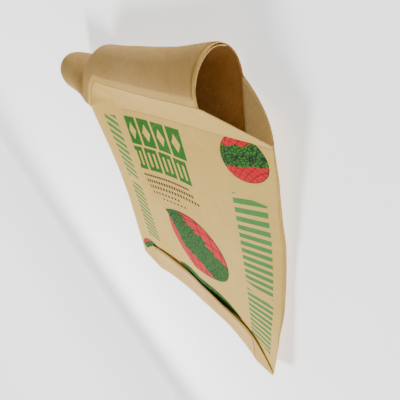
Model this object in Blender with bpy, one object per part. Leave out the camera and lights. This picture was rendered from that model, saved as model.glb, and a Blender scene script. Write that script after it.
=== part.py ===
"""Empty block-bottom valve sack lying on its back, with its filling mouth open.

X runs across the sack, Y from its folded foot to its open head, Z up from the floor.
The back panel lies on the floor. The sack is one tube of sheet whose foot is folded flat
over the front panel and whose head stands propped open as a low tunnel. A cover patch is
glued over each folded end, and a valve patch lines the corner just inside the mouth.
"""
import math

import bpy
import bmesh
from mathutils import Vector

MM = 0.001

# Driving sizes of the sack in mm
FLAT_WIDTH = 500.0
BLOCK_WIDTH = 110.0
LENGTH = 625.0
HEAD_HEIGHT = 66.0
CREASE_HEIGHT = 33.0

# Sizes worked out from them
HALF = FLAT_WIDTH / 2
BLOCK_HALF = BLOCK_WIDTH / 2
PANEL_HALF = HALF - BLOCK_HALF
CREASE_Y = LENGTH - BLOCK_HALF

# Sheet and seams
WALL = 1.2
GLUE_GAP = 0.3
PATCH = 0.8
FOOT_STACK = 3.0
EDGE_STACK = 3.4
SEAM_ROUND = 1.0

# How the soft sheet lies
HEAD_NARROWING_LEFT = 0.16
CORNER_LIFT_LEFT = 27.0
CORNER_LIFT_RIGHT = 27.0
CORNER_LIFT_BEND = 1.4
SIDE_BEND = 1.4
FOOT_CURL_LEFT = 24.0
FOOT_CURL_RIGHT = 35.0
FLAT_MIDDLE = 60.0
RIDGE_FOOT = 20.0
RIDGE_HEAD = -30.0
RIDGE_FALL = 110.0
RIDGE_WIDTH = 55.0
RIDGE_HEIGHT = 8.0
LEFT_DROP = 0.62
TROUGH = 90.0
CURL_REACH = 420.0
FLAP_REST = 0.6
FLAP_SPRING = 4.5
FLAP_THICK = 2.4
HINGE = 2.5

# Mesh density
ROWS = 14
RAISED_ROWS = 3
VALVE_ROWS = 6
ARC_STEPS = 10
MID_STATIONS = 16
SIDE_STATIONS = 5
FLAP_ROWS = 3

# How far cutters pass beyond what they cut
REACH = 30.0

# Valve patch and cover patches
VALVE_DEPTH = 95.0
VALVE_INSET = 4.0
VALVE_TIP = 12.0
PATCH_END_INSET = 4.0
PATCH_SIDE_INSET = 5.0

KRAFT = (0.62, 0.49, 0.31, 1.0)
COVER = (0.66, 0.53, 0.35, 1.0)
INNER = (0.50, 0.37, 0.21, 1.0)


def clamp(value, low=0.0, high=1.0):
    return max(low, min(high, value))


def smooth(value):
    value = clamp(value)
    return value * value * (3 - 2 * value)


# Shape of the lying sack

def along(v):
    """Share of the way from the foot corner to the head corner."""
    return clamp((v - BLOCK_HALF) / (CREASE_Y - BLOCK_HALF))


def across(u, v):
    """X of the sheet at flat position u. The left side is drawn in by the ridge."""
    narrowing = HEAD_NARROWING_LEFT * along(v) if u < 0 else 0.0
    return u * (1 - narrowing)


def side_share(u):
    """0 over the flat panel, 1 at the side fold."""
    return clamp((abs(u) - PANEL_HALF) / BLOCK_HALF)


def foot_line(u):
    return max(0.0, abs(u) - PANEL_HALF)


def head_line(u):
    """Flat length at which the end block starts, shortened along its diagonals."""
    return max(LENGTH - foot_line(u), CREASE_Y + SEAM_ROUND)


def curl(u, v):
    """Lift of the foot corners off the floor."""
    most = FOOT_CURL_RIGHT if u > 0 else FOOT_CURL_LEFT
    outward = clamp((abs(u) - FLAT_MIDDLE) / (HALF - FLAT_MIDDLE))
    return most * outward ** 2 * (1 - smooth(v / CURL_REACH))


def back_height(u, v):
    """Height of the back panel, which leaves the floor towards its side folds."""
    lift = CORNER_LIFT_RIGHT if u > 0 else CORNER_LIFT_LEFT
    outward = clamp((abs(u) - PANEL_HALF + BLOCK_HALF / 2) / (1.5 * BLOCK_HALF))
    return curl(u, v) + lift * along(v) ** CORNER_LIFT_BEND * outward ** SIDE_BEND


def front_height(u, v):
    """Height of the front panel below the crease, with a low ridge and a trough to its left."""
    opening = along(v)
    ridge_line = RIDGE_FOOT + (RIDGE_HEAD - RIDGE_FOOT) * opening
    drop = smooth((ridge_line - u) / RIDGE_FALL)
    ridge = RIDGE_HEIGHT * math.exp(-((u - ridge_line) / RIDGE_WIDTH) ** 2)
    rise = (CREASE_HEIGHT - FOOT_STACK) * (1 - LEFT_DROP * drop) + ridge
    edge = CORNER_LIFT_LEFT * opening ** CORNER_LIFT_BEND
    left_slope = clamp((-u - TROUGH) / (HALF - TROUGH)) * max(0.0, edge - rise * opening)
    middle = curl(u, v) + FOOT_STACK + rise * opening + left_slope
    fold = back_height(u, v) + EDGE_STACK
    share = side_share(u)
    return middle * (1 - share) + fold * share


def raised_climb(u):
    """Height gained between the crease and the head's front fold."""
    flat = math.copysign(min(abs(u), PANEL_HALF), u)
    return HEAD_HEIGHT - front_height(flat, CREASE_Y)


def raised_run(u):
    """Length along Y between the crease and the head's front fold."""
    return math.sqrt(BLOCK_HALF ** 2 - raised_climb(u) ** 2)


def back_point(u, v, inset):
    return Vector((across(u, v), v, back_height(u, v) + inset))


def front_point(u, v, inset):
    """Point of the front panel, which rises steeply from the crease to the head."""
    raised = max(0.0, (v - CREASE_Y) / BLOCK_HALF)
    run = raised_run(u)
    y = min(v, CREASE_Y) + raised * run
    height = front_height(u, min(v, CREASE_Y)) + raised * raised_climb(u)
    steepening = (BLOCK_HALF / run - 1) * min(1.0, 2 * raised)
    return Vector((across(u, v), y, height - inset * (1 + steepening)))


def end_bulge(u):
    """Outward bow of the end panel, which is the block width long."""
    chord = math.hypot(BLOCK_HALF - raised_run(u), HEAD_HEIGHT)
    return 2 * BLOCK_WIDTH / math.pi - chord / 2


def end_arc(low, high, bulge, angles):
    """Points of a half ellipse from the back panel round to the front panel."""
    chord = high - low
    outward = Vector((0.0, chord.z, -chord.y)).normalized()
    return [low + chord * (1 - math.cos(a)) / 2 + outward * bulge * math.sin(a) for a in angles]


# Mesh helpers

def material(name, colour):
    made = bpy.data.materials.new(name)
    made.use_nodes = True
    shader = made.node_tree.nodes["Principled BSDF"]
    shader.inputs["Base Color"].default_value = colour
    shader.inputs["Roughness"].default_value = 0.75
    return made


def loft(name, rings, finish):
    """Closed body through rings of equal point count, capped at both ends."""
    mesh = bmesh.new()
    grid = [[mesh.verts.new(Vector(point) * MM) for point in ring] for ring in rings]
    count = len(rings[0])
    for near, far in zip(grid[:-1], grid[1:]):
        for i in range(count):
            j = (i + 1) % count
            # Opposite skins split the same way, so that a thin body never crosses itself
            if i < count // 2:
                split = ((near[i], near[j], far[j]), (near[i], far[j], far[i]))
            else:
                split = ((near[i], near[j], far[i]), (near[j], far[j], far[i]))
            for corners in split:
                mesh.faces.new(corners)
    mesh.faces.new(list(reversed(grid[0])))
    mesh.faces.new(grid[-1])
    bmesh.ops.triangulate(mesh, faces=mesh.faces)
    bmesh.ops.recalc_face_normals(mesh, faces=mesh.faces)
    data = bpy.data.meshes.new(name)
    mesh.to_mesh(data)
    mesh.free()
    data.materials.append(finish)
    made = bpy.data.objects.new(name, data)
    bpy.context.scene.collection.objects.link(made)
    return made


def combine(target, other, operation):
    """Add or cut with another body, which is kept as a hidden tool."""
    modifier = target.modifiers.new(other.name, "BOOLEAN")
    modifier.operation = operation
    modifier.solver = "EXACT"
    modifier.object = other
    other.hide_render = True
    other.display_type = "WIRE"


def spread(low, high, steps):
    return [low + (high - low) * i / steps for i in range(steps + 1)]


def stations(limit):
    """Flat positions across the sack, closer together in the corners."""
    middle = spread(-PANEL_HALF, PANEL_HALF, MID_STATIONS)
    side = spread(PANEL_HALF, limit, SIDE_STATIONS)[1:]
    return [-u for u in reversed(side)] + middle + side


def profile(u, v_low, v_high, inset, bulge):
    """Ring round the sack at one station: back panel, end panel, front panel."""
    rows = spread(v_low, CREASE_Y, ROWS) + spread(CREASE_Y, v_high, RAISED_ROWS)[1:]
    back = [back_point(u, v, inset) for v in rows]
    front = [front_point(u, v, inset) for v in rows]
    angles = spread(0.0, math.pi, ARC_STEPS)[1:-1]
    end = end_arc(back[-1], front[-1], max(bulge, SEAM_ROUND), angles)
    return back + end + list(reversed(front))


# The pieces

def sack_skin(finish):
    """Outside of the sack, still solid."""
    rings = []
    for u in stations(HALF):
        bow = end_bulge(u) * (1 - side_share(u))
        rings.append(profile(u, foot_line(u), head_line(u), 0.0, bow))
    return loft("sack_body", rings, finish)


def sack_hollow(finish):
    """Inside of the sack, running out through the mouth at the right of the head."""
    start = BLOCK_HALF + 2 * WALL
    rings = []
    for u in stations(HALF - 2 * WALL):
        bow = end_bulge(u)
        end = head_line(u) - WALL * (1 + 2 * side_share(u))
        rings.append(profile(u, start, end, WALL, bow * (1 - side_share(u))))
        if abs(u - PANEL_HALF) < WALL:
            rings.append(profile(u + GLUE_GAP, start, head_line(u) + REACH, WALL, bow))
        elif u > PANEL_HALF:
            rings[-1] = profile(u, start, head_line(u) + REACH, WALL, bow)
    return loft("hollow_tool", rings, finish)


def flap_ring(u, y_low, y_high, lift, thick):
    """Ring round the folded foot, glued down up to its middle and sprung up beyond it."""
    middle = (y_low + y_high) / 2
    glued = spread(y_low, middle - HINGE, FLAP_ROWS)
    free = spread(middle + HINGE, y_high, FLAP_ROWS)
    base = []
    for y in glued:
        base.append((across(u, y), y, front_height(u, y) - WALL + lift))
    for y in free:
        sprung = FLAP_REST + FLAP_SPRING * smooth((y - BLOCK_HALF) / BLOCK_HALF)
        base.append((across(u, y), y, front_height(u, y) + sprung + lift))
    top = [(x, y, z + thick) for x, y, z in reversed(base)]
    return base + top


def foot_flap(finish):
    """Folded foot block, a flat hexagon turned over onto the front panel."""
    rings = []
    for u in stations(HALF - 4 * HINGE):
        low = foot_line(u) + GLUE_GAP
        rings.append(flap_ring(u, low, BLOCK_WIDTH - low, 0.0, FLAP_THICK))
    return loft("foot_tool", rings, finish)


def bottom_cover_patch(finish):
    limit = PANEL_HALF - PATCH_END_INSET
    low = PATCH_SIDE_INSET
    high = BLOCK_WIDTH - PATCH_SIDE_INSET
    rings = []
    for u in spread(-limit, limit, MID_STATIONS):
        rings.append(flap_ring(u, low, high, FLAP_THICK + 2 * GLUE_GAP, PATCH))
    return loft("bottom_cover_patch", rings, finish)


def top_cover_patch(finish):
    """Strip over the end panel, kept clear of the floor and of both folds."""
    limit = PANEL_HALF - PATCH_END_INSET
    near = 2 * GLUE_GAP
    far = near + PATCH
    margin = math.acos((HEAD_HEIGHT / 2 - PATCH) / (HEAD_HEIGHT / 2 + far))
    angles = spread(margin, math.pi - margin, ARC_STEPS * 2)
    rings = []
    for u in spread(-limit, limit, MID_STATIONS):
        low = back_point(u, LENGTH, 0.0)
        high = front_point(u, LENGTH, 0.0)
        outward = (high - low).normalized()
        skins = []
        for grow in (near, far):
            bow = end_bulge(u) + grow
            skins.append(end_arc(low - outward * grow, high + outward * grow, bow, angles))
        rings.append(skins[0] + list(reversed(skins[1])))
    return loft("top_cover_patch", rings, finish)


def valve_patch(finish):
    """Folded patch lining the side fold just inside the mouth."""
    near = WALL + GLUE_GAP
    far = near + PATCH
    low = CREASE_Y - VALVE_DEPTH
    outer = spread(PANEL_HALF, HALF - 3 * near, SIDE_STATIONS)
    inner = spread(PANEL_HALF, HALF - VALVE_TIP, SIDE_STATIONS)
    rings = []
    for share in spread(0.0, 1.0, VALVE_ROWS) + spread(1.0, 2.0, RAISED_ROWS)[1:]:
        ring = []
        for flats, inset, point in (
            (outer, near, back_point),
            (outer[::-1], near, front_point),
            (inner, far, front_point),
            (inner[::-1], far, back_point),
        ):
            for u in flats:
                end = head_line(u) - VALVE_INSET
                v = low + min(share, 1.0) * (CREASE_Y - low) + max(0.0, share - 1.0) * (end - CREASE_Y)
                ring.append(point(u, v, inset))
        rings.append(ring)
    return loft("valve_patch", rings, finish)


def centre_on_floor(bodies, tools):
    """Put the middle of the box over the origin and its underside on the floor."""
    bpy.context.view_layer.update()
    corners = [Vector(corner) for body in bodies for corner in body.bound_box]
    shift = Vector((0.0, 0.0, 0.0))
    for axis in (0, 1):
        values = [corner[axis] for corner in corners]
        shift[axis] = -(min(values) + max(values)) / 2
    shift[2] = -min(corner[2] for corner in corners)
    for item in bodies + tools:
        for vertex in item.data.vertices:
            vertex.co += shift


def main():
    for item in list(bpy.data.objects):
        bpy.data.objects.remove(item, do_unlink=True)
    kraft = material("kraft_sheet", KRAFT)
    cover = material("cover_sheet", COVER)
    inner = material("inner_sheet", INNER)
    body = sack_skin(kraft)
    flap = foot_flap(kraft)
    hollow = sack_hollow(kraft)
    combine(body, flap, "UNION")
    combine(body, hollow, "DIFFERENCE")
    patches = [top_cover_patch(cover), bottom_cover_patch(cover), valve_patch(inner)]
    centre_on_floor([body] + patches, [flap, hollow])


main()
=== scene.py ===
import math

import bmesh
import bpy
import numpy as np
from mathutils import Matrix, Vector

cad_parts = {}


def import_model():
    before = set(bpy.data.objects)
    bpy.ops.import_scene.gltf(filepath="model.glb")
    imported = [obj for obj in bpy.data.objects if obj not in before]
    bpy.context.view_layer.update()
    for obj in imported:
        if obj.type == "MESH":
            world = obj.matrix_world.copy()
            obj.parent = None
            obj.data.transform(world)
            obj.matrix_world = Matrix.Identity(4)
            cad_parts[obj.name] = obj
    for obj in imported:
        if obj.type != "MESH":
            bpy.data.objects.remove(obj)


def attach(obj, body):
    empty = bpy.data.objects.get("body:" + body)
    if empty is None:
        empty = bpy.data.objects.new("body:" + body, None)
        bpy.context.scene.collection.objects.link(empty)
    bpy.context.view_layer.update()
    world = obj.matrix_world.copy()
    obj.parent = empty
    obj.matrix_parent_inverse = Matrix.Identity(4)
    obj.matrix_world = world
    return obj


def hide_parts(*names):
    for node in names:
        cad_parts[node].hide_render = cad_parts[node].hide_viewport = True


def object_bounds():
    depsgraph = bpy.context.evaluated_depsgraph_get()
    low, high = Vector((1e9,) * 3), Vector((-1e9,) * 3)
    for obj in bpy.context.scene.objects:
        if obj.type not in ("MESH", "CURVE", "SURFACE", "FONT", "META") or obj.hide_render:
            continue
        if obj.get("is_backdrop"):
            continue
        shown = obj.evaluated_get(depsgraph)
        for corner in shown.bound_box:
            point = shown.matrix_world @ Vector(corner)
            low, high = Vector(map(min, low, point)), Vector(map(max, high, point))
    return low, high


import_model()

# Lengths are in mm from the sack's foot fold until a mesh is made. X runs across the sack,
# Y from its folded foot to its open head, Z up from the floor. A flat position is given by
# u across the sack and v along the tube, counted from the foot fold up the front panel.
CAD_LOW, CAD_HIGH = (Vector(corner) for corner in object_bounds())
MM = 0.001

# Driving sizes of the sack
FLAT_WIDTH = 500.0
BLOCK_WIDTH = 110.0
LENGTH = 625.0
HEAD_HEIGHT = 66.0
CREASE_HEIGHT = 33.0
HALF = FLAT_WIDTH / 2
BLOCK_HALF = BLOCK_WIDTH / 2
PANEL_HALF = HALF - BLOCK_HALF
CREASE_Y = LENGTH - BLOCK_HALF
TUBE = 2 * LENGTH + 2 * BLOCK_WIDTH

# The woven sheet and the rounded folds along its sides
SHEET = 0.5
NOSE = 6.0
NOSE_MOST = 9.5
NOSE_LEAST = 1.6
NOSE_LEAN = 0.75
NOSE_FULLNESS = 0.7
NOSE_BULGE = 0.3
FOOT_STACK = 1.6

# How the soft sheet lies
HEAD_NARROWING_LEFT = 0.16
EDGE_LIFT_LEFT = 27.0
EDGE_LIFT_RIGHT = 29.5
EDGE_BEND = 1.43
OPENING_BEND = 1.25
SIDE_BEND = 1.4
MOUTH_BEND = 3.2
MOUTH_BEND_POWER = 3
FOOT_CURL_LEFT = 26.1
FOOT_CURL_RIGHT = 37.2
FLAT_MIDDLE = 60.0
CURL_REACH = 420.0
SIDE_BOW = 4.0
END_SQUARE = 0.84
MOUTH_FLARE = 6.0
FLARE_REACH = 45.0
FLARE_RISE = 1.5

# The ridge along the front panel: how far up the sack, across it, and how high
RIDGE = ((60.0, 20.0, 3.0), (130.0, 18.0, 7.5), (192.0, 15.0, 13.0), (250.0, 11.0, 20.0),
         (340.0, 4.0, 29.0), (400.0, -20.0, 36.5), (450.0, -34.0, 41.5), (570.0, -36.0, 42.0))
RIDGE_RIGHT = 60.0
RIDGE_RIGHT_BEND = 1.5
RIDGE_LEFT = 78.0
RIDGE_LEFT_BEND = 1.8
RIDGE_POINT = 4.0
LOW_LEFT = 7.0
TROUGH = 90.0

# Small waves of the sheet: their length, height and seed
SEED = 11
WAVE_STEPS = (1.0, 1.7, 2.9)
EDGE_WAVE = (150.0, 0.5, 1)
EDGE_WAVE_SHIFT = 37.0
PANEL_WAVE = (170.0, 0.4, 3)
PANEL_WAVE_SLANT = 0.6
FLAP_WAVE = (95.0, 0.022, 7)
LINING_WAVE = (60.0, 1.5, 9)
FOOT_WAVE = (130.0, 0.6, 21)

# The folded foot block. Springs: place across, reach and height of each part that stands open
FLAP_GAP = 0.7
FLAP_SPRING = 5.5
SPRINGS = ((95.0, 55.0, 1.0), (-90.0, 60.0, 0.5))
SPRING_LEAST = 0.35
FLAP_FOLD = 2.0
FOOT_FOLD = 3.0
FOOT_RIPPLE = 1.2
FOLD_DEPTH = 0.8
CORNER_SHARE = 0.25
HINGE_PARTS = 3

# Patches and the turned-in end of the sheet
PATCH_GAP = 0.7
PATCH_SHEET = 0.3
PATCH_END_INSET = 4.0
PATCH_SIDE_INSET = 5.0
TOP_COVER_START = 0.05
TOP_COVER_SHARE = 0.89
VALVE_DEPTH = 95.0
LINING_INNER = 2.0
LINING_OUTER = 1.5
LINING_INSET = 1.0
LINING_OVER_BACK = 1.2
LINING_UNDER_FRONT = 1.6
FLAP_START = 0.16
FLAP_EDGE = 0.66
FLAP_REACH = 55.0
FLAP_INSET = 2.4

# Mesh density
SIDE_COLUMNS = 14
NOSE_COLUMNS = 6
MIDDLE_COLUMNS = 96
PANEL_ROWS = 78
RAISED_ROWS = 12
ARC_ROWS = 18
BLOCK_ROWS = 14
FOLD_ROWS = 5
VALVE_ROWS = 24
WELD = 0.02
LEAST_CHORD = 0.01

# Colours of the sheet and the inks, as seen on a screen
KRAFT_LIGHT = (232, 197, 110)
KRAFT_DARK = (216, 176, 88)
# Painted shade: the top cover is darker than the foot cover, for the end panel facing away from the key
# light
SHADED_TOP_COVER_LIGHT = (198, 162, 96)
SHADED_TOP_COVER_DARK = (168, 130, 68)
FOOT_COVER_LIGHT = (230, 190, 118)
FOOT_COVER_DARK = (212, 168, 94)
# Painted light: the lining is lighter than the inside of the sheet, for the daylight it gets in the mouth
LIT_LINING_LIGHT = (244, 216, 150)
LIT_LINING_DARK = (214, 176, 108)
FLAP_LIGHT = (236, 200, 134)
FLAP_DARK = (206, 164, 98)
RAW_EDGE = (250, 232, 190)
INNER_LIGHT = (228, 186, 116)
INNER_DARK = (196, 150, 84)
# Painted shade: the colour that the head end beyond the crease is darkened towards
HEAD_SHADE_COLOUR = (168, 132, 74)
GREEN = (38, 108, 24)
RED = (214, 18, 34)
# Dark ink of the print, and also the colour of the painted shade in folds and creases
INK_AND_SHADE_DARK = (30, 32, 24)
SIDE_GREEN = (72, 136, 66)
SCALE_GREEN = (48, 122, 30)
# Painted light: colour of the lining's glow
PAINTED_GLOW_COLOUR = (240, 226, 160)

# Finishes: roughness and gloss
MATTE = (0.8, 0.15)
SATIN = (0.5, 0.45)
# Painted light: strength of the lining's glow
LINING_PAINTED_GLOW = 0.13

# Sheet detail: noise scale and detail, then relief in m and its strength
MOTTLE = (9.0, 4.0)
MOTTLE_SHARE = 0.7
PORES = (160.0, 3.0)
PORE_STRETCH = (1.0, 0.6, 1.0)
TONE_RANGE = (0.36, 0.64)
WEAVE_PITCH = 3.4
WEAVE_RELIEF = (0.0003, 0.9)
CRUMPLE = (34.0, 5.0)
CRUMPLE_STRETCH = (1.0, 0.7, 1.0)
CRUMPLE_SHIFT = 3.0
CRUMPLE_RELIEF = (0.0024, 0.7)
CREASE_NET = 13.0
CREASE_WIDTH = 0.05
CREASE_RELIEF = (0.0005, 0.8)
# Painted shade: how far the head end beyond the crease is darkened, and how softly it starts
HEAD_SHADE_SHARE = 0.3
HEAD_SHADE_SOFT = 1.0
# Painted shade: how far the fold lines darken the colour, and how much more the ridge line does
CREASE_SHADE = 0.55
RIDGE_DARK = 1.5

# Painted shade lines along the folds in mm: their width beside a fold, their run along it, their softness
FOLD_LINE = 0.9
SIDE_LINE = 2.2
SIDE_LINE_SOFT = 1.2
RIDGE_LINE = (-4.0, 3.4)
RIDGE_LINE_RUN = (345.0, 440.0, 14.0)
FAINT_LINE = (-3.0, 1.6)
FAINT_LINE_RUN = (RIDGE[2][0], CREASE_Y, 12.0)
RIDGE_LINE_SOFT = 0.8

# The turned-in end's raw edge
EDGE_FRAY = (90.0, 3.0)
EDGE_FRAY_DEPTH = 3.0
EDGE_WIDTH = 2.0
EDGE_SOFT = 0.8

# Print, in flat mm: low, high, left, right and the blocks' pitch of a band
TITLE_HIGH = (509.0, 559.0, -109.0, 107.0, 36.0)
TITLE_LOW = (459.0, 505.0, -115.0, 101.0, 36.0)
BLOCK_SHARE = 0.43
SLOT_SHARES = (0.1, 0.24)
HOLE_HEIGHT = 0.62
LOZENGE_WIDTH = 0.26
LOZENGE_SOFT = 0.04

# Dashed rules: height, left, right and half width
RULES = ((446.0, -30.0, 84.0, 2.4), (433.0, -34.0, 92.0, 3.4), (420.0, -40.0, 104.0, 3.4),
         (406.0, -34.0, 52.0, 2.8), (394.0, 0.0, 60.0, 2.2))
DASH_PITCH = 5.3
DASH_GROWTH = 0.9
DASH_SHIFT = 1.7
DASH = (0.4, 4.6)
RULE_SOFT = 0.3

# Columns of slanted bars up the two sides
RIGHT_BAND = 208.0
LEFT_BAND = -176.0
BAND_WIDE = 24.0
RIGHT_GROUPS = ((112.0, 272.0), (290.0, 490.0))
LEFT_GROUPS = ((150.0, 352.0), (370.0, 530.0))
BAR_PITCH = 17.0
BAR_SHARES = (0.12, 0.7)
BAR_SLANT = 0.35

# Roundels: place across and along, radius and turn. Their net and band are in shares of a radius
ROUNDELS = ((40.0, 278.0, 98.0, -0.78), (208.0, 546.0, 30.0, 0.3), (-208.0, 96.0, 32.0, 0.5))
DISC_SOFT = 0.02
RIM_START = 0.94
BAND_HALF = 0.46
BAND_SHIFT = 0.4
BAND_FRAY = (70.0, 2.0)
BAND_FRAY_DEPTH = 0.5
NET_LEAN = 0.8
NET_BOW = 0.35
NET_PITCH = 0.3
NET_LINE = 0.012
NET_SOFT = 0.006
PRINT_STOP = 2.0

# Scales and wear of the print
SCALE_NET = 260.0
SCALE_EDGE = 0.11
SCALE_SOFT = 0.07
WORN = (420.0, 3.0)
WORN_BELOW = 0.3
WORN_SOFT = 0.06
INK_SOFT = 0.6

# The leaf of scales by the foot flap
TAIL_LOW = 88.0
TAIL_HIGH = 142.0
TAIL_LEFT = -80.0
TAIL_RIGHT = 155.0
TAIL_TAPER = 2.5
TAIL_TURN = 0.022
TAIL_BOW = 4.0

# Camera, in mm from the foot fold
CAMERA_AT = (389.15, 703.05, 221.22)
CAMERA_AIM = (95.4, 442.8, 20.0)
CAMERA_ROLL = math.radians(-124.25)
CAMERA_LENS = 24.88
CAMERA_SENSOR = 36.0
CAMERA_SHIFT = (0.0105, -0.018)

# Floor and light, in metres
FLOOR_REACH = 9.0
COVE = 2.0
COVE_STEPS = 12
FLOOR_SIDES = 96
BACKDROP_HEIGHT = 4.0
FLOOR_PAINT = (0.92, 0.92, 0.92, 1.0)
FLOOR_ROUGH = 0.9
FLOOR_GLOSS = 0.1
WHITE = (1.0, 1.0, 1.0, 1.0)
FLOOR_GLOW = 1.2
BACKDROP_GLOW = 1.42
GLOW_NEAR = 0.8
GLOW_FAR = 6.0
SKY_LIGHT = 0.08
KEY_AT = (-1.0, -1.5, 2.0)
KEY_SIZE = 0.8
KEY_POWER = 130.0


# Small helpers

def smooth(value):
    value = np.clip(value, 0.0, 1.0)
    return value * value * (3 - 2 * value)


def lerp(low, high, share):
    return low + (high - low) * share


def hump(share):
    """0 at both ends and 1 half way."""
    return 4 * share * (1 - share)


def seeded_wave(value, wave):
    """Sum of three sines that never repeats over the sack."""
    length, amount, index = wave
    random = np.random.default_rng(SEED + index)
    total = np.zeros_like(value)
    for step in WAVE_STEPS:
        start = random.uniform(0, 2 * math.pi)
        total = total + np.sin(2 * math.pi * value * step / length + start) / step
    return amount * total


# Shape of the lying sack

def along(v):
    """Share of the way from the foot corner to the head corner."""
    return np.clip((v - BLOCK_HALF) / (CREASE_Y - BLOCK_HALF), 0.0, 1.0)


def flat_side(u):
    """0 over the flat panel, 1 where the side fold starts to turn."""
    return np.clip((np.abs(u) - PANEL_HALF) / (BLOCK_HALF - NOSE), 0.0, 1.0)


def side_share(u):
    """0 over the flat panel, 1 at the outermost line of the side fold."""
    return np.clip((np.abs(u) - PANEL_HALF) / BLOCK_HALF, 0.0, 1.0)


def nose_angle(u):
    """Turn of the side fold: 0 where the flat sheet ends, a quarter turn at its outermost line."""
    return np.clip((np.abs(u) - HALF + NOSE) / NOSE, 0.0, 1.0) * math.pi / 2


def nose_height(v):
    """Height of the rounded side fold, which is sharp at the foot and fullest half way up."""
    return NOSE_LEAST * along(v) + NOSE_MOST * np.sin(math.pi * along(v) ** NOSE_LEAN) ** NOSE_FULLNESS


def across(u, v):
    """X of the sheet, with the left side drawn in where the head is open."""
    opening = along(v)
    wobble = seeded_wave(v + EDGE_WAVE_SHIFT * np.sign(u), EDGE_WAVE)
    bow = np.where(u > 0, SIDE_BOW * hump(opening), 0.0)
    reach = np.minimum(np.abs(u), HALF - NOSE) + (NOSE + bow + wobble) * flat_side(u)
    reach = reach * np.where(u < 0, 1 - HEAD_NARROWING_LEFT * opening, 1.0)
    return np.sign(u) * (reach + NOSE_BULGE * nose_height(v) * np.sin(nose_angle(u)))


def foot_line(u):
    """Y of the foot fold, which cuts the corners off."""
    return np.maximum(0.0, np.abs(u) - PANEL_HALF)


def head_line(u):
    """Flat place of the head fold, which cuts the corners off."""
    return LENGTH - foot_line(u)


def curl(u, v):
    """Lift of the foot corners off the floor."""
    most = np.where(u > 0, FOOT_CURL_RIGHT, FOOT_CURL_LEFT)
    outward = np.clip((np.abs(u) - FLAT_MIDDLE) / (HALF - FLAT_MIDDLE), 0.0, 1.0)
    return most * outward ** 2 * (1 - smooth(v / CURL_REACH))


def edge_lift(u, v):
    """Height of the side fold's upper line over the curled panel."""
    lift = np.where(u > 0, EDGE_LIFT_RIGHT, EDGE_LIFT_LEFT)
    return SHEET + lift * along(v) ** EDGE_BEND


def side_fold(u, v):
    """Upper, middle and lower height of the rounded side fold."""
    top = edge_lift(u, v)
    bottom = np.maximum(top - nose_height(v), 0.0)
    return top, (top + bottom) / 2, bottom


def back_height(u, v):
    """Height of the back panel, which leaves the floor towards its side folds."""
    start = PANEL_HALF - BLOCK_HALF / 2
    outward = np.clip((np.abs(u) - start) / (HALF - NOSE - start), 0.0, 1.0)
    bend = lerp(SIDE_BEND, MOUTH_BEND, along(v) ** MOUTH_BEND_POWER * (u > 0))
    _, middle, bottom = side_fold(u, v)
    flat = SHEET + (bottom - SHEET) * outward ** bend
    turned = middle - (middle - bottom) * np.cos(nose_angle(u))
    return curl(u, v) + np.where(nose_angle(u) > 0, turned, flat)


def ridge_at(v):
    """Place across and height of the ridge crest."""
    rows = np.array(RIDGE)
    return np.interp(v, rows[:, 0], rows[:, 1]), np.interp(v, rows[:, 0], rows[:, 2])


def panel_height(u, v):
    """Height of the flat part of the front panel, with its ridge and its low left side."""
    opening = along(v) ** OPENING_BEND
    crest, top = ridge_at(v)
    right = FOOT_STACK + (CREASE_HEIGHT - FOOT_STACK) * opening
    trough = FOOT_STACK + LOW_LEFT * opening
    edge = edge_lift(-np.ones_like(v), v)
    left = lerp(trough, edge, np.clip((-u - TROUGH) / (HALF - NOSE - TROUGH), 0.0, 1.0))
    over = np.maximum(top - right, 0.0)
    past = (np.maximum(u - crest, 0.0) + RIDGE_POINT) / RIDGE_RIGHT
    right_side = right + over * np.exp(-past ** RIDGE_RIGHT_BEND)
    crest_height = right + over * math.exp(-(RIDGE_POINT / RIDGE_RIGHT) ** RIDGE_RIGHT_BEND)
    fall = 1 - (1 - np.clip((crest - u) / RIDGE_LEFT, 0.0, 1.0)) ** RIDGE_LEFT_BEND
    left_side = lerp(crest_height, left, fall)
    wrinkled = seeded_wave(u + PANEL_WAVE_SLANT * v, PANEL_WAVE) * opening
    return np.where(u > crest, right_side, left_side) + wrinkled


def front_height(u, v):
    """Height of the front panel below the crease."""
    top, middle, _ = side_fold(u, v)
    flat = lerp(panel_height(np.clip(u, -PANEL_HALF, PANEL_HALF), v), top, flat_side(u))
    turned = middle + (top - middle) * np.cos(nose_angle(u))
    return curl(u, v) + np.where(nose_angle(u) > 0, turned, flat)


def raised_climb(u):
    """Height that the front panel gains between its crease and the head fold."""
    flat = np.clip(u, -PANEL_HALF, PANEL_HALF)
    return HEAD_HEIGHT - front_height(flat, np.full_like(flat, CREASE_Y))


def raised_run(u):
    """Distance along Y between the crease and the head fold."""
    return np.sqrt(BLOCK_HALF ** 2 - raised_climb(u) ** 2)


def back_point(u, v):
    """Points of the back panel as an array of X, Y and Z."""
    return np.stack([across(u, v), v, back_height(u, v)], axis=-1)


def front_point(u, v):
    """Points of the front panel, which rises steeply from the crease to the head."""
    raised = np.maximum(0.0, (v - CREASE_Y) / BLOCK_HALF)
    low = np.minimum(v, CREASE_Y)
    y = low + raised * raised_run(u)
    z = front_height(u, low) + raised * raised_climb(u)
    return np.stack([across(u, low), y, z], axis=-1)


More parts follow.
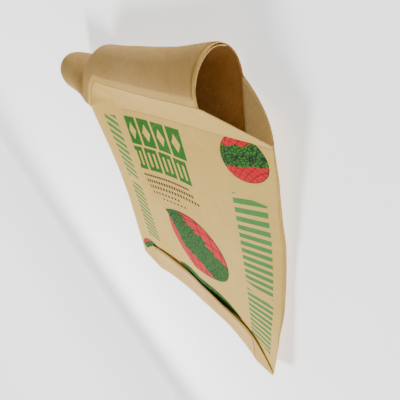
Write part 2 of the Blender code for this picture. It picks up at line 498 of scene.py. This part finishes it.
def end_point(u, share, grow=0.0):
    """Points of the end panel, from its front fold at share 0 round to its back fold at 1."""
    flat = np.clip(u, -PANEL_HALF, PANEL_HALF)
    high = front_point(u, head_line(u))
    low = back_point(u, head_line(u))
    chord = high - low
    length = np.maximum(np.linalg.norm(chord, axis=-1, keepdims=True), LEAST_CHORD)
    outward = np.stack([np.zeros_like(u), chord[..., 2], -chord[..., 1]], axis=-1) / length
    full = 2 * BLOCK_WIDTH / math.pi - np.hypot(BLOCK_HALF - raised_run(flat), HEAD_HEIGHT) / 2
    by_mouth = np.exp(-((PANEL_HALF - u) / FLARE_REACH) ** 2) * (u > 0)
    flare = MOUTH_FLARE * by_mouth * smooth(share * FLARE_RISE)
    bow = ((full + flare) * (1 - side_share(u)) + grow)[..., None]
    angle = (share * math.pi)[..., None]
    rounded = np.maximum(np.sin(angle), 0.0) ** END_SQUARE
    return low + chord * (1 + np.cos(angle)) / 2 + outward * bow * rounded


def spring(u):
    """How far the foot block stands off the front panel at its free edge."""
    wide = SPRING_LEAST
    for middle, reach, height in SPRINGS:
        wide = wide + height * np.exp(-((u - middle) / reach) ** 2)
    return FLAP_SPRING * wide * (1 - side_share(u) ** 2)


def block_low(u, y):
    """Height of the foot block's underside."""
    sprung = FLAP_GAP + spring(u) * smooth((y - BLOCK_HALF) / BLOCK_HALF)
    return front_height(u, np.maximum(y, BLOCK_HALF)) + sprung * (y > BLOCK_HALF)


def block_high(u, y):
    """Height of the foot block's upper side."""
    over_back = curl(u, y) + FOOT_FOLD
    over_front = block_low(u, np.maximum(y, BLOCK_HALF)) + FLAP_FOLD
    return lerp(over_back, over_front, smooth(y / BLOCK_HALF))


def pressed_flat(u, y, z):
    """Heights brought down onto the back panel at the very corners of the foot block."""
    shut = 1 - side_share(u)
    return np.where(shut < CORNER_SHARE, lerp(back_height(u, y), z, shut / CORNER_SHARE), z)


# Meshes

def steps(count):
    """Even shares from just after 0 up to 1."""
    return np.linspace(0.0, 1.0, count + 1)[1:]


def columns():
    """Flat positions across the sack, closest together round the side folds."""
    side = np.linspace(PANEL_HALF, HALF - NOSE, SIDE_COLUMNS + 1)[1:]
    nose = np.linspace(HALF - NOSE, HALF, NOSE_COLUMNS + 1)[1:]
    outer = np.concatenate([side, nose])
    middle = np.linspace(-PANEL_HALF, PANEL_HALF, MIDDLE_COLUMNS + 1)
    return np.concatenate([-outer[::-1], middle, outer])


def sack_rows(u):
    """Rows of points round the tube, each with its place along the flat tube."""
    crease = np.full_like(u, CREASE_Y)
    rows = []
    for v in np.linspace(BLOCK_HALF, CREASE_Y, PANEL_ROWS):
        level = np.full_like(u, v)
        rows.append((level, front_point(u, level), "front"))
    for share in steps(RAISED_ROWS):
        v = lerp(CREASE_Y, head_line(u), share)
        rows.append((v, front_point(u, v), "front"))
    for share in steps(ARC_ROWS):
        level = np.full_like(u, share)
        rows.append((LENGTH + BLOCK_WIDTH * level, end_point(u, level), "end"))
    for share in steps(RAISED_ROWS):
        v = lerp(head_line(u), crease, share)
        rows.append((TUBE - BLOCK_WIDTH - v, back_point(u, v), "back"))
    for share in steps(PANEL_ROWS - 1):
        v = lerp(crease, foot_line(u), share)
        rows.append((TUBE - BLOCK_WIDTH - v, back_point(u, v), "back"))
    rows.extend(block_rows(u))
    return rows


def block_rows(u):
    """Rows of the folded foot: its outer fold, upper layer, inner fold and lower layer."""
    rows = []
    start = foot_line(u)
    end = BLOCK_WIDTH - start
    base = TUBE - BLOCK_WIDTH
    shut = 1 - side_share(u)
    low = back_height(u, start)
    high = lerp(low, block_high(u, start), np.minimum(1.0, shut / CORNER_SHARE))
    ripple = FOOT_RIPPLE * (1 + seeded_wave(u, FOOT_WAVE)) * shut
    for share in steps(FOLD_ROWS):
        angle = share * math.pi
        y = start - ((high - low) / 2 * FOLD_DEPTH + ripple) * math.sin(angle)
        z = lerp(low, high, (1 - math.cos(angle)) / 2)
        tube = np.full_like(u, base + share)
        rows.append((tube, np.stack([across(u, start), y, z], axis=-1), "block"))
    for share in steps(BLOCK_ROWS):
        y = lerp(start, end, share)
        z = pressed_flat(u, y, block_high(u, y))
        rows.append((base + 1 + y, np.stack([across(u, y), y, z], axis=-1), "block"))
    under = pressed_flat(u, end, block_low(u, end))
    top = rows[-1][1][:, 2]
    for share in steps(FOLD_ROWS):
        angle = share * math.pi
        y = end + (top - under) / 2 * math.sin(angle)
        z = lerp(top, under, (1 - math.cos(angle)) / 2)
        rows.append((base + 1 + end + share, np.stack([across(u, end), y, z], axis=-1), "block"))
    hinge = np.full_like(u, BLOCK_HALF)
    closed = front_height(u, hinge)
    for share in steps(BLOCK_ROWS // 2):
        y = lerp(end, hinge, share)
        z = pressed_flat(u, y, block_low(u, y))
        z = lerp(z, closed, smooth(share * HINGE_PARTS - HINGE_PARTS + 1))
        rows.append((base + 1 + end + end - y, np.stack([across(u, y), y, z], axis=-1), "under"))
    return rows


def grid_mesh(name, u, rows, materials, left_out=None, creases=()):
    """Mesh through rows of points, with flat places as UV. Rows at a crease shade sharply."""
    points = np.array([row[1] for row in rows])
    tube = np.array([row[0] for row in rows])
    count = len(u)
    spots = points.reshape(-1, 3) * MM
    spots[:, 1] += CAD_LOW.y
    faces = []
    flats = []
    for r in range(len(rows) - 1):
        for c in range(count - 1):
            if left_out and left_out(u[c], u[c + 1], rows[r + 1][2]):
                continue
            first = r * count + c
            faces.append((first, first + 1, first + count + 1, first + count))
            near, far = u[c], u[c + 1]
            low, high = tube[r], tube[r + 1]
            flats.extend(((near, low[c]), (far, low[c + 1]), (far, high[c + 1]), (near, high[c])))
    mesh = bpy.data.meshes.new(name)
    mesh.from_pydata(spots.tolist(), [], faces)
    for edge in mesh.edges:
        low, high = (index // count for index in edge.vertices)
        edge.use_edge_sharp = low == high and low in creases
    flats = np.array(flats)
    crest = np.stack([ridge_at(flats[:, 1])[0], np.zeros(len(flats))], axis=-1)
    for layer_name, places in (("flat", flats), ("crest", flats - crest)):
        layer = mesh.uv_layers.new(name=layer_name)
        layer.data.foreach_set("uv", (places * MM).ravel())
    for finish in materials:
        mesh.materials.append(finish)
    made = bpy.data.objects.new(name, mesh)
    bpy.context.scene.collection.objects.link(made)
    return made


def weld(piece):
    """Close the side folds and drop loose points and empty cells."""
    shell = bmesh.new()
    shell.from_mesh(piece.data)
    bmesh.ops.remove_doubles(shell, verts=shell.verts, dist=WELD * MM)
    bmesh.ops.dissolve_degenerate(shell, edges=shell.edges, dist=WELD * MM)
    loose = [vertex for vertex in shell.verts if not vertex.link_faces]
    bmesh.ops.delete(shell, geom=loose, context="VERTS")
    bmesh.ops.recalc_face_normals(shell, faces=shell.faces)
    shell.to_mesh(piece.data)
    shell.free()


def thicken(piece, thickness, inner_slot=0):
    """Give a surface the thickness of its sheet, with the inside in its own finish."""
    modifier = piece.modifiers.new("sheet", "SOLIDIFY")
    modifier.thickness = thickness * MM
    modifier.offset = -1.0
    modifier.material_offset = inner_slot
    modifier.material_offset_rim = 0
    piece.data.polygons.foreach_set("use_smooth", [True] * len(piece.data.polygons))


# Materials

def srgb(colour):
    """Linear colour from the 0 to 255 values seen on a screen."""
    values = []
    for part in colour:
        share = part / 255
        values.append(share / 12.92 if share <= 0.04045 else ((share + 0.055) / 1.055) ** 2.4)
    return (*values, 1.0)


class Weaver:
    """Short names for building a node tree."""

    def __init__(self, name):
        self.material = bpy.data.materials.new(name)
        self.material.use_nodes = True
        self.tree = self.material.node_tree
        self.shader = self.tree.nodes["Principled BSDF"]
        self.flat, (self.u, self.v) = self.places("flat")

    def places(self, layer):
        """UV map of a layer, and its two directions in mm."""
        made = self.tree.nodes.new("ShaderNodeUVMap")
        made.uv_map = layer
        split = self.tree.nodes.new("ShaderNodeSeparateXYZ")
        self.tree.links.new(made.outputs[0], split.inputs[0])
        return made, [self.times(split.outputs[index], 1 / MM) for index in (0, 1)]

    def put(self, socket, value):
        """Link a socket, or set a number or a screen colour on it."""
        if isinstance(value, bpy.types.NodeSocket):
            self.tree.links.new(value, socket)
        elif isinstance(value, tuple):
            socket.default_value = srgb(value)
        else:
            socket.default_value = value

    def math(self, operation, first, second=0.0, third=0.0):
        node = self.tree.nodes.new("ShaderNodeMath")
        node.operation = operation
        for socket, value in zip(node.inputs, (first, second, third)):
            self.put(socket, value)
        return node.outputs[0]

    def plus(self, first, second):
        return self.math("ADD", first, second)

    def less(self, first, second):
        return self.math("SUBTRACT", first, second)

    def times(self, first, second):
        return self.math("MULTIPLY", first, second)

    def absolute(self, value):
        return self.math("ABSOLUTE", value)

    def wrap(self, value, high, low=0.0):
        return self.math("WRAP", value, high, low)

    def above(self, value, edge, soft=0.5):
        """1 where the value is past the edge, 0 before it."""
        node = self.tree.nodes.new("ShaderNodeMapRange")
        node.interpolation_type = "SMOOTHSTEP"
        for name, given in (("Value", value), ("From Min", edge - soft), ("From Max", edge + soft)):
            self.put(node.inputs[name], given)
        return node.outputs[0]

    def below(self, value, edge, soft=0.5):
        return self.less(1.0, self.above(value, edge, soft))

    def between(self, value, low, high, soft=0.5):
        return self.times(self.above(value, low, soft), self.below(value, high, soft))

    def both(self, *masks):
        total = masks[0]
        for mask in masks[1:]:
            total = self.times(total, mask)
        return total

    def either(self, *masks):
        total = masks[0]
        for mask in masks[1:]:
            total = self.math("MAXIMUM", total, mask)
        return total

    def noise(self, look, stretch=(1.0, 1.0, 1.0), shift=0.0):
        """Soft noise over the flat sheet, from its scale and detail."""
        mapping = self.tree.nodes.new("ShaderNodeMapping")
        mapping.inputs["Scale"].default_value = stretch
        mapping.inputs["Location"].default_value = (shift, shift, 0.0)
        self.tree.links.new(self.flat.outputs[0], mapping.inputs[0])
        node = self.tree.nodes.new("ShaderNodeTexNoise")
        node.inputs["Scale"].default_value, node.inputs["Detail"].default_value = look
        self.tree.links.new(mapping.outputs[0], node.inputs["Vector"])
        return node.outputs[0]

    def crackle(self, scale):
        """Distance to the nearest line of a net of straight creases."""
        cells = self.tree.nodes.new("ShaderNodeTexVoronoi")
        cells.feature = "DISTANCE_TO_EDGE"
        cells.inputs["Scale"].default_value = scale
        self.tree.links.new(self.flat.outputs[0], cells.inputs["Vector"])
        return cells.outputs[0]

    def mix(self, share, low, high):
        """Colour between two others."""
        node = self.tree.nodes.new("ShaderNodeMix")
        node.data_type = "RGBA"
        for index, value in ((0, share), (6, low), (7, high)):
            self.put(node.inputs[index], value)
        return node.outputs[2]

    def bump(self, height, relief, under=None):
        """Surface normal raised by a height, over another normal where one is given."""
        node = self.tree.nodes.new("ShaderNodeBump")
        node.inputs["Distance"].default_value, node.inputs["Strength"].default_value = relief
        self.put(node.inputs["Height"], height)
        if under is not None:
            self.put(node.inputs["Normal"], under)
        return node.outputs[0]

    def finish(self, colour):
        self.put(self.shader.inputs["Base Color"], colour)
        return self.material


def sheet_look(made, light, dark, surface):
    """Colour of mottled kraft over a woven tape sheet, with its weave, crumple and creases."""
    mottle = made.times(made.noise(MOTTLE), MOTTLE_SHARE)
    pores = made.times(made.noise(PORES, PORE_STRETCH), 1 - MOTTLE_SHARE)
    spread = made.tree.nodes.new("ShaderNodeMapRange")
    made.put(spread.inputs["Value"], made.plus(mottle, pores))
    made.put(spread.inputs["From Min"], TONE_RANGE[0])
    made.put(spread.inputs["From Max"], TONE_RANGE[1])
    colour = made.mix(spread.outputs[0], dark, light)
    turn = 2 * math.pi / WEAVE_PITCH
    warp = made.math("SINE", made.times(made.u, turn))
    weft = made.math("SINE", made.times(made.v, turn))
    weave = made.times(warp, weft)
    colour = made.mix(made.above(weave, 0.0, 1.0), dark, colour)
    normal = made.bump(weave, WEAVE_RELIEF)
    normal = made.bump(made.noise(CRUMPLE, CRUMPLE_STRETCH, CRUMPLE_SHIFT), CRUMPLE_RELIEF, normal)
    net = made.above(made.crackle(CREASE_NET), CREASE_WIDTH, CREASE_WIDTH)
    normal = made.bump(net, CREASE_RELIEF, normal)
    made.put(made.shader.inputs["Normal"], normal)
    for name, value in zip(("Roughness", "Specular IOR Level"), surface):
        made.put(made.shader.inputs[name], value)
    return colour


def block_band(made, band, slots):
    """Row of printed building blocks, each with a lozenge hole or with upright slots."""
    low, high, left, right, pitch = band
    height = (high - low) / 2
    area = made.both(made.between(made.v, low, high), made.between(made.u, left, right))
    cell = made.absolute(made.less(made.wrap(made.u, right, right - pitch), right - pitch / 2))
    rise = made.absolute(made.less(made.v, (low + high) / 2))
    block = made.below(cell, pitch * BLOCK_SHARE)
    if slots:
        slot = made.between(cell, pitch * SLOT_SHARES[0], pitch * SLOT_SHARES[1])
        hole = made.both(slot, made.below(rise, height * HOLE_HEIGHT))
    else:
        sideways = made.times(cell, 1 / (pitch * LOZENGE_WIDTH))
        upward = made.times(rise, 1 / (height * HOLE_HEIGHT))
        hole = made.below(made.plus(sideways, upward), 1.0, LOZENGE_SOFT)
    return made.both(area, block, made.less(1.0, hole))


def bar_band(made, middle, groups, slant):
    """Column of slanted bars running up one side of the panel."""
    sheared = made.plus(made.v, made.times(made.less(made.u, middle), slant))
    low, high = (BAR_PITCH * share for share in BAR_SHARES)
    bar = made.between(made.wrap(sheared, BAR_PITCH), low, high)
    runs = [made.between(made.v, start, end) for start, end in groups]
    column = made.between(made.u, middle - BAND_WIDE, middle + BAND_WIDE)
    return made.both(bar, column, made.either(*runs))


def small_rules(made):
    """Thin broken rules under the two block bands."""
    rules = []
    for index, (height, left, right, half) in enumerate(RULES):
        wave = made.wrap(made.plus(made.u, index * DASH_SHIFT), DASH_PITCH + DASH_GROWTH * index)
        rules.append(made.both(
            made.between(made.v, height - half, height + half, RULE_SOFT),
            made.between(made.u, left, right),
            made.between(wave, *DASH, RULE_SOFT),
        ))
    return made.either(*rules)


def roundel(made, middle_u, middle_v, radius, turn):
    """Masks of a disc, of the ragged band across it, and of its dark net and rim."""
    du = made.times(made.less(made.u, middle_u), 1 / radius)
    dv = made.times(made.less(made.v, middle_v), 1 / radius)
    squared = made.plus(made.times(du, du), made.times(dv, dv))
    disc = made.below(squared, 1.0, DISC_SOFT)
    rim = made.both(disc, made.above(squared, RIM_START, DISC_SOFT))
    cosine, sine = math.cos(turn), math.sin(turn)
    lengthwise = made.plus(made.times(du, cosine), made.times(dv, sine))
    crosswise = made.less(made.times(dv, cosine), made.times(du, sine))
    ragged = made.plus(crosswise, made.times(made.noise(BAND_FRAY), BAND_FRAY_DEPTH))
    strip = made.between(ragged, BAND_SHIFT - BAND_HALF, BAND_SHIFT + BAND_HALF, DISC_SOFT)
    bowed = made.times(made.times(lengthwise, lengthwise), NET_BOW)
    net = []
    for lean in (NET_LEAN, -NET_LEAN):
        line = made.plus(made.plus(crosswise, made.times(lengthwise, lean)), bowed)
        off = made.absolute(made.less(made.wrap(line, NET_PITCH), NET_PITCH / 2))
        net.append(made.above(off, NET_PITCH / 2 - NET_LINE, NET_SOFT))
    dark = made.either(made.both(disc, made.either(*net)), rim)
    return disc, made.both(disc, strip), dark


def tail_band(made):
    """Long leaf of green scales above the foot flap."""
    height = made.plus(made.v, made.times(made.math("SINE", made.times(made.u, TAIL_TURN)), TAIL_BOW))
    middle = (TAIL_LEFT + TAIL_RIGHT) / 2
    outward = made.times(made.less(made.u, middle), 2 / (TAIL_RIGHT - TAIL_LEFT))
    taper = made.less(1.0, made.math("POWER", made.absolute(outward), TAIL_TAPER))
    half = made.times(taper, (TAIL_HIGH - TAIL_LOW) / 2)
    off = made.absolute(made.less(height, (TAIL_LOW + TAIL_HIGH) / 2))
    return made.above(made.less(half, off), INK_SOFT, INK_SOFT)


def fold_shade_lines(made):
    """Painted shade: dark thin lines at the head's crease and fold, along the side folds and on the
    ridge.
    """
    lines = [made.between(made.v, v - FOLD_LINE, v + FOLD_LINE) for v in (CREASE_Y, LENGTH)]
    lines.append(made.above(made.absolute(made.u), HALF - SIDE_LINE, SIDE_LINE_SOFT))
    _, (beside, _) = made.places("crest")
    for line, run, strength in (
        (RIDGE_LINE, RIDGE_LINE_RUN, RIDGE_DARK),
        (FAINT_LINE, FAINT_LINE_RUN, 1.0),
    ):
        ridge = made.both(made.between(beside, *line, RIDGE_LINE_SOFT), made.between(made.v, *run))
        lines.append(made.times(ridge, strength))
    return made.either(*lines)


def printed(made, colour):
    """Colour of the sheet with the print over it, a little worn."""
    worn = made.above(made.noise(WORN), WORN_BELOW, WORN_SOFT)
    title = made.either(block_band(made, TITLE_HIGH, False), block_band(made, TITLE_LOW, True))
    right = bar_band(made, RIGHT_BAND, RIGHT_GROUPS, -BAR_SLANT)
    left = bar_band(made, LEFT_BAND, LEFT_GROUPS, BAR_SLANT)
    colour = made.mix(made.both(worn, title), colour, GREEN)
    colour = made.mix(made.both(worn, made.either(right, left)), colour, SIDE_GREEN)
    colour = made.mix(small_rules(made), colour, INK_AND_SHADE_DARK)
    edges = made.below(made.crackle(SCALE_NET), SCALE_EDGE, SCALE_SOFT)
    panel = made.below(made.v, CREASE_Y + PRINT_STOP, INK_SOFT)
    for place_and_size in ROUNDELS:
        disc, band, dark = roundel(made, *place_and_size)
        for mask, ink in (
            (made.both(disc, worn, panel), RED),
            (made.both(dark, panel), INK_AND_SHADE_DARK),
            (made.both(band, panel), SCALE_GREEN),
            (made.both(band, edges, panel), INK_AND_SHADE_DARK),
        ):
            colour = made.mix(mask, colour, ink)
    tail = tail_band(made)
    colour = made.mix(tail, colour, SCALE_GREEN)
    return made.mix(made.both(tail, edges), colour, INK_AND_SHADE_DARK)


def outer_material():
    """Printed kraft face, with painted shade beyond the head's crease and painted shade lines along its
    folds.
    """
    made = Weaver("kraft_print")
    colour = sheet_look(made, KRAFT_LIGHT, KRAFT_DARK, MATTE)
    # Painted shade on the raised head and the end panel, past the crease
    head_shade = made.times(made.above(made.v, CREASE_Y, HEAD_SHADE_SOFT), HEAD_SHADE_SHARE)
    colour = printed(made, made.mix(head_shade, colour, HEAD_SHADE_COLOUR))
    # Painted shade along the folds and the ridge, darkened towards the dark ink
    shaded = made.mix(CREASE_SHADE, colour, INK_AND_SHADE_DARK)
    return made.finish(made.mix(made.times(fold_shade_lines(made), CREASE_SHADE), colour, shaded))


def inner_material():
    """Inside of the sheet, with painted shade where the foot is folded in."""
    made = Weaver("kraft_inside")
    colour = sheet_look(made, INNER_LIGHT, INNER_DARK, SATIN)
    # Painted shade inside the folded foot, darkened to the dark ink colour
    fold_gap_shade = made.above(made.v, TUBE - BLOCK_HALF, BLOCK_HALF / 2)
    return made.finish(made.mix(fold_gap_shade, colour, INK_AND_SHADE_DARK))


def patch_material(name, light, dark, painted_glow=0.0):
    """Finish of a glued patch, which can glow: painted light for the daylight that comes through the
    sheet.
    """
    made = Weaver(name)
    colour = sheet_look(made, light, dark, MATTE)
    made.put(made.shader.inputs["Emission Color"], PAINTED_GLOW_COLOUR)
    made.put(made.shader.inputs["Emission Strength"], painted_glow)
    return made.finish(colour)


def flap_material():
    """Inner face of the turned-in end, with the pale raw edge of the cut sheet."""
    made = Weaver("kraft_flap")
    colour = sheet_look(made, FLAP_LIGHT, FLAP_DARK, SATIN)
    ragged = made.plus(made.v, made.times(made.noise(EDGE_FRAY), EDGE_FRAY_DEPTH))
    return made.finish(made.mix(made.above(ragged, FLAP_REACH - EDGE_WIDTH, EDGE_SOFT), colour, RAW_EDGE))


# Pieces


def in_mouth(near, far, next_kind):
    """The end panel's right corner is left out: it is the filling mouth."""
    return next_kind == "end" and (near + far) / 2 > PANEL_HALF


def sack_body():
    """The tube of sheet with its folded foot block and its open head."""
    u = columns()
    crease = PANEL_ROWS - 1
    front_fold = crease + RAISED_ROWS
    back_fold = front_fold + ARC_ROWS
    finishes = [outer_material(), inner_material()]
    piece = grid_mesh("sack_sheet", u, sack_rows(u), finishes, in_mouth, (crease, front_fold, back_fold))
    weld(piece)
    thicken(piece, SHEET, 1)
    return piece


def end_flap():
    """Turned-in end of the sheet, whose wavy raw edge shows inside the end panel."""
    u = np.linspace(-PANEL_HALF, PANEL_HALF, MIDDLE_COLUMNS + 1)
    edge = FLAP_EDGE + seeded_wave(u, FLAP_WAVE)
    rows = []
    for share in np.linspace(0.0, 1.0, ARC_ROWS):
        points = end_point(u, lerp(FLAP_START, edge, share), -FLAP_INSET)
        rows.append((np.full_like(u, FLAP_REACH * share), points, "end"))
    piece = grid_mesh("sack_end_flap", u, rows, [flap_material()])
    thicken(piece, SHEET)
    return piece


def valve_lining():
    """Folded patch lining the side fold just inside the mouth."""
    flat = np.linspace(PANEL_HALF - LINING_INNER, HALF - LINING_OUTER, SIDE_COLUMNS)
    u = np.concatenate([flat, flat[::-1]])
    lower = np.arange(len(u)) < len(flat)
    rows = []
    for share in np.linspace(0.0, 1.0, VALVE_ROWS):
        wave = seeded_wave(u, LINING_WAVE) * (1 - share)
        v = lerp(CREASE_Y - VALVE_DEPTH + wave, head_line(u) - LINING_INSET, share)
        low = back_point(u, v) + np.array([0.0, 0.0, LINING_OVER_BACK])
        high = front_point(u, v) - np.array([0.0, 0.0, LINING_UNDER_FRONT])
        rows.append((v, np.where(lower[:, None], low, high), "valve"))
    # Lightened colours and a glow: painted light on the lining inside the mouth
    finish = patch_material("kraft_lining_painted_light", LIT_LINING_LIGHT, LIT_LINING_DARK, LINING_PAINTED_GLOW)
    piece = grid_mesh("valve_sheet", u, rows, [finish])
    thicken(piece, PATCH_SHEET)
    return piece


def patch_columns():
    """Flat positions across a cover patch, which stops short of the block's ends."""
    limit = PANEL_HALF - PATCH_END_INSET
    return np.linspace(-limit, limit, MIDDLE_COLUMNS)


def top_cover():
    """Strip that bends over the end panel at the head."""
    u = patch_columns()
    rows = []
    for share in TOP_COVER_START + TOP_COVER_SHARE * np.linspace(0.0, 1.0, ARC_ROWS * 2):
        level = np.full_like(u, share)
        rows.append((LENGTH + BLOCK_WIDTH * level, end_point(u, level, PATCH_GAP), "end"))
    # Darker colours paint the shade on the end panel, which faces away from the key light
    finish = patch_material("kraft_top_cover_painted_shade", SHADED_TOP_COVER_LIGHT, SHADED_TOP_COVER_DARK)
    piece = grid_mesh("top_cover_sheet", u, rows, [finish])
    thicken(piece, PATCH_SHEET)
    return piece


def bottom_cover():
    """Strip over the foot block. Its flat places lie past the end of the tube's."""
    u = patch_columns()
    rows = []
    for y in np.linspace(PATCH_SIDE_INSET, BLOCK_WIDTH - PATCH_SIDE_INSET, BLOCK_ROWS * 2):
        v = np.full_like(u, y)
        points = np.stack([across(u, v), v, block_high(u, v) + PATCH_GAP], axis=-1)
        rows.append((v + 2 * TUBE, points, "patch"))
    finish = patch_material("kraft_foot_cover", FOOT_COVER_LIGHT, FOOT_COVER_DARK)
    piece = grid_mesh("bottom_cover_sheet", u, rows, [finish])
    thicken(piece, PATCH_SHEET)
    return piece


# Scene

def place(vector):
    """Point in metres in the row frame from mm counted from the foot fold."""
    return Vector((vector[0] * MM, vector[1] * MM + CAD_LOW.y, vector[2] * MM))


def camera():
    """Camera beyond the head's right corner, rolled as the sack was photographed."""
    data = bpy.data.cameras.new("camera")
    data.lens = CAMERA_LENS
    data.sensor_width = CAMERA_SENSOR
    data.shift_x, data.shift_y = CAMERA_SHIFT
    made = bpy.data.objects.new("camera", data)
    bpy.context.scene.collection.objects.link(made)
    made.location = place(CAMERA_AT)
    forward = (place(CAMERA_AIM) - place(CAMERA_AT)).normalized()
    level = forward.cross(Vector((0.0, 0.0, 1.0))).normalized()
    upward = level.cross(forward)
    right = level * math.cos(CAMERA_ROLL) + upward * math.sin(CAMERA_ROLL)
    up = right.cross(forward)
    turned = made.matrix_world.copy()
    for index, axis in enumerate((right, up, -forward)):
        for row in range(3):
            turned[row][index] = axis[row]
    turned.translation = made.location
    made.matrix_world = turned
    bpy.context.scene.camera = made


def floor_mesh():
    """Round floor that sweeps up far away into a backdrop, so that no horizon shows."""
    sweep = [(FLOOR_REACH, 0.0)]
    for step in range(1, COVE_STEPS + 1):
        turn = step / COVE_STEPS * math.pi / 2
        sweep.append((FLOOR_REACH + COVE * math.sin(turn), COVE * (1 - math.cos(turn))))
    sweep.append((FLOOR_REACH + COVE, BACKDROP_HEIGHT))
    points = [(0.0, 0.0, 0.0)]
    faces = []
    for ring, (reach, height) in enumerate(sweep):
        for step in range(FLOOR_SIDES):
            turn = 2 * math.pi * step / FLOOR_SIDES
            points.append((reach * math.cos(turn), reach * math.sin(turn), height))
            here = 1 + ring * FLOOR_SIDES + step
            beside = 1 + ring * FLOOR_SIDES + (step + 1) % FLOOR_SIDES
            if ring == 0:
                faces.append((0, here, beside))
            else:
                faces.append((here - FLOOR_SIDES, here, beside, beside - FLOOR_SIDES))
    mesh = bpy.data.meshes.new("floor")
    mesh.from_pydata(points, [], faces)
    mesh.polygons.foreach_set("use_smooth", [True] * len(mesh.polygons))
    return mesh


def floor_material():
    """Pale paint with a glow that grows away from the sack, where the key light fades."""
    finish = bpy.data.materials.new("floor_paint")
    finish.use_nodes = True
    nodes, links = finish.node_tree.nodes, finish.node_tree.links
    paint = nodes["Principled BSDF"]
    paint.inputs["Base Color"].default_value = FLOOR_PAINT
    paint.inputs["Roughness"].default_value = FLOOR_ROUGH
    paint.inputs["Specular IOR Level"].default_value = FLOOR_GLOSS
    paint.inputs["Emission Color"].default_value = WHITE
    spot = nodes.new("ShaderNodeTexCoord")
    away = nodes.new("ShaderNodeVectorMath")
    away.operation = "LENGTH"
    even = nodes.new("ShaderNodeMapRange")
    for name, value in (
        ("From Min", GLOW_NEAR),
        ("From Max", GLOW_FAR),
        ("To Min", FLOOR_GLOW),
        ("To Max", BACKDROP_GLOW),
    ):
        even.inputs[name].default_value = value
    links.new(spot.outputs["Object"], away.inputs[0])
    links.new(away.outputs["Value"], even.inputs["Value"])
    links.new(even.outputs[0], paint.inputs["Emission Strength"])
    return finish


def floor():
    mesh = floor_mesh()
    mesh.materials.append(floor_material())
    made = bpy.data.objects.new("floor", mesh)
    bpy.context.scene.collection.objects.link(made)
    made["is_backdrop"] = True


def key_light():
    """Soft light from above, to the left of the foot."""
    data = bpy.data.lights.new("key", "AREA")
    data.size = KEY_SIZE
    data.energy = KEY_POWER
    made = bpy.data.objects.new("key", data)
    bpy.context.scene.collection.objects.link(made)
    made.location = KEY_AT
    made.rotation_euler = (-Vector(KEY_AT)).to_track_quat("-Z", "Y").to_euler()


def world():
    """Faint even light from all round."""
    sky = bpy.data.worlds.new("sky")
    sky.use_nodes = True
    sky.node_tree.nodes["Background"].inputs["Color"].default_value = WHITE
    sky.node_tree.nodes["Background"].inputs["Strength"].default_value = SKY_LIGHT
    bpy.context.scene.world = sky


def main():
    for make, node, slot in (
        (sack_body, "sack_body", "kraft_sheet"),
        (top_cover, "top_cover_patch", "cover_sheet"),
        (bottom_cover, "bottom_cover_patch", "cover_sheet"),
        (end_flap, "sack_body", "kraft_sheet"),
        (valve_lining, "valve_patch", "inner_sheet"),
    ):
        piece = make()
        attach(piece, "root")
        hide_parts(node)
    floor()
    key_light()
    world()
    camera()


main()
